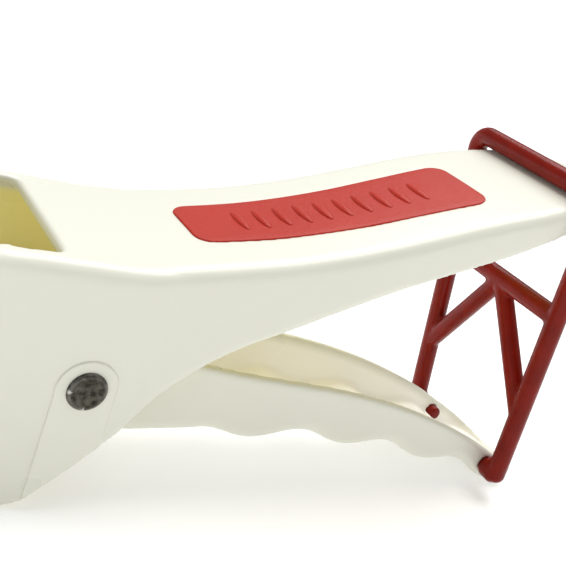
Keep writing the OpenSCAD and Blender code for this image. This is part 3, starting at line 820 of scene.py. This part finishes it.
def makeBail(h=hoop):
    footIn = turned([(footAxis.x - pivot.x, footAxis.z - pivot.z)], -handleRise)[0]
    foot = (footIn[0] / mm, footIn[1] / mm)

    def legPoint(t, side):
        return Vector((foot[0] + (barAt[0] - foot[0]) * t,
                       side * (h["footHalf"] + (h["topHalf"] - h["footHalf"]) * t),
                       foot[1] + (barAt[1] - foot[1]) * t))

    def bend(side):
        corner, down = legPoint(1, side), (legPoint(0, side) - legPoint(1, side)).normalized()
        inward = Vector((0, -side, 0))
        half = down.angle(inward) / 2
        centre = corner + (down + inward).normalized() * h["bend"] / math.sin(half)
        first = corner + down * h["bend"] / math.tan(half)
        last = corner + inward * h["bend"] / math.tan(half)
        a, b = first - centre, last - centre
        angle = a.angle(b)
        return [centre + (a * math.sin(angle * (1 - t)) + b * math.sin(angle * t)) / math.sin(angle)
                for t in [k / 12 for k in range(13)]]

    apex = legPoint(h["crossShare"], 0)
    path = [legPoint(0, 1)] + bend(1) + list(reversed(bend(-1))) + [legPoint(0, -1)]
    rods = [(path, h["rod"]), ([legPoint(h["crossShare"], s) for s in (-1, 1)], h["cross"])]
    for s in (-1, 1):
        rods.append(([apex, legPoint(h["braceShare"], s)], h["brace"]))
        for reach, radius in ((grip["half"] - grip["wall"] - h["footOut"], h["foot"]),
                              (grip["half"] + h["knobGap"], h["knob"])):
            rods.append(([legPoint(0, s), Vector((foot[0], s * reach, foot[1]))], radius))
    parts = [(line, [radius] * len(line)) for line, radius in rods]
    for s in (-1, 1):      # rounded lower ends of the legs
        line = [legPoint(0, s) + Vector((0, 0, z)) for z in h["endSteps"]]
        parts.append((line, [h["rod"] * math.sqrt(1 - (z / h["endRound"]) ** 2) for z in h["endSteps"]]))
    points, faces = [], []
    for line, radii in parts:
        v, f = tube(line, radii)
        faces += [tuple(k + len(points) for k in face) for face in f]
        points += v
    obj = newObject("bailHoop", fromPivot([tuple(p) for p in points], handleRise), faces)
    soften(obj, h["voxel"], 3)
    return finishPiece(obj, bailRed, "bail", "red_bail", "bail")


bailHoop = makeBail()
print("bail", len(bailHoop.data.polygons))


rivet = {"seat": 23.3, "radius": 2.5, "head": 4.0, "high": 0.9}


def makePin(r=rivet):
    s, top = r["seat"], r["seat"] + r["high"]
    profile = [(0, top - 0.25), (1.2, top - 0.24), (2.2, top - 0.12), (2.9, top - 0.02), (3.35, top),
               (3.7, top - 0.12), (3.93, top - 0.35), (r["head"], top - 0.6), (r["head"], s), (r["radius"], s),
               (r["radius"], -s - 2.2), (r["radius"] - 0.4, -s - 2.6), (0, -s - 2.6)]
    obj = lathe("pivotPin", profile)
    for polygon in obj.data.polygons:
        polygon.use_smooth = True
    edge = obj.modifiers.new("edge", "BEVEL")
    edge.width = 0.08 * mm
    edge.segments = 2
    edge.limit_method = "ANGLE"
    settle(obj)
    return finishPiece(obj, pinSteel, "body", "pin_steel", "pivot_pin")


pivotPin = makePin()


finishes = {
    "pin_washer": pinSteel, "pin_cap": pinSteel, "blade_frame": frameGrey, "front_clamp": frameGrey,
    "rear_clamp": frameGrey, "clamp_screws": screwSteel, "frame_screws": screwSteel, "bush_near": bushGrey,
    "bush_far": bushGrey, "pusher": pusherWhite, "pusher_screws": screwSteel, "return_spring": springSteel,
}
for name, node in frame["nodes"].items():
    material = finishes.get(name, bladeSteel if name.startswith("blade_") else None)
    if material:
        node.data.materials.clear()
        node.data.materials.append(material)
print("carried-over nodes")


stage = {
    "floorHalf": 60.0,
    "tableGlow": 0.38,
    "sky": 0.47,
    "horizon": 1.02,
    "skyFade": (0.03, 0.10),     # heights between which the horizon turns into the sky
    "sun": 2.75, "sunSpread": 55.0, "sunFrom": (0.22, 0.36, 1),
    "strip": 0.9, "stripSize": (0.05, 0.5), "stripAt": (-0.05, 0.12, 0.75),
}


def makeStage(s=stage):
    half = s["floorHalf"]
    corners = [(-half, -half, 0), (half, -half, 0), (half, half, 0), (-half, half, 0)]
    floor = newObject("floor", corners, [(0, 1, 2, 3)])
    material = plastic("paleFloor", (0.81, 0.81, 0.81, 1), (0.79, 0.79, 0.79, 1), 0.85, 0.95, 0.0,
                       Specular_IOR_Level=0.1, Emission_Color=(1, 1, 1, 1), Emission_Strength=s["tableGlow"])[0]
    floor.data.materials.append(material)
    world = bpy.data.worlds.new("studio")
    world.use_nodes = True
    tree = world.node_tree
    where = tree.nodes.new("ShaderNodeTexCoord")
    split = tree.nodes.new("ShaderNodeSeparateXYZ")
    fade = tree.nodes.new("ShaderNodeMapRange")
    fade.inputs["From Min"].default_value, fade.inputs["From Max"].default_value = s["skyFade"]
    fade.inputs["To Min"].default_value = s["horizon"]
    fade.inputs["To Max"].default_value = s["sky"]
    tree.links.new(where.outputs["Generated"], split.inputs["Vector"])
    tree.links.new(split.outputs["Z"], fade.inputs["Value"])
    tree.links.new(fade.outputs["Result"], tree.nodes["Background"].inputs["Strength"])
    tree.nodes["Background"].inputs["Color"].default_value = (1, 1, 1, 1)
    scene.world = world
    light = bpy.data.lights.new("keyLight", "SUN")
    light.energy = s["sun"]
    light.angle = math.radians(s["sunSpread"])
    lamp = bpy.data.objects.new("keyLight", light)
    scene.collection.objects.link(lamp)
    lamp.rotation_euler = (-Vector(s["sunFrom"])).to_track_quat("-Z", "Y").to_euler()
    strip = bpy.data.lights.new("stripLight", "AREA")
    strip.shape = "RECTANGLE"
    strip.size, strip.size_y = s["stripSize"]
    strip.energy = s["strip"]
    bar = bpy.data.objects.new("stripLight", strip)
    bar.location = pivot + Vector(s["stripAt"])
    scene.collection.objects.link(bar)
    bar.rotation_euler = (pivot - bar.location).to_track_quat("-Z", "Y").to_euler()
    scene.view_settings.view_transform = "Standard"


view = {
    "lens": 62.5,
    "sensor": 36.0,
    "place": (-47.742, -174.0, 106.350),         # from the pivot, along the upper handle
    "right": (0.888122, -0.446412, 0.109343),
    "up": (0.120887, 0.456417, 0.881515),
}


def makeCamera(v=view):
    camera = bpy.data.cameras.new("camera")
    camera.lens = v["lens"]
    camera.sensor_width = v["sensor"]
    camera.clip_start = 0.01
    holder = bpy.data.objects.new("camera", camera)
    scene.collection.objects.link(holder)
    origin = fromPivot([(0, 0, 0)], handleRise)[0]
    right, up = [(p - origin).normalized() for p in fromPivot([v["right"], v["up"]], handleRise)]
    back = right.cross(up)
    place = fromPivot([v["place"]], handleRise)[0]
    holder.matrix_world = Matrix((
        (right.x, up.x, back.x, place.x), (right.y, up.y, back.y, place.y), (right.z, up.z, back.z, place.z),
        (0, 0, 0, 1)))
    scene.camera = holder


makeStage()
makeCamera()
print("stage ready")
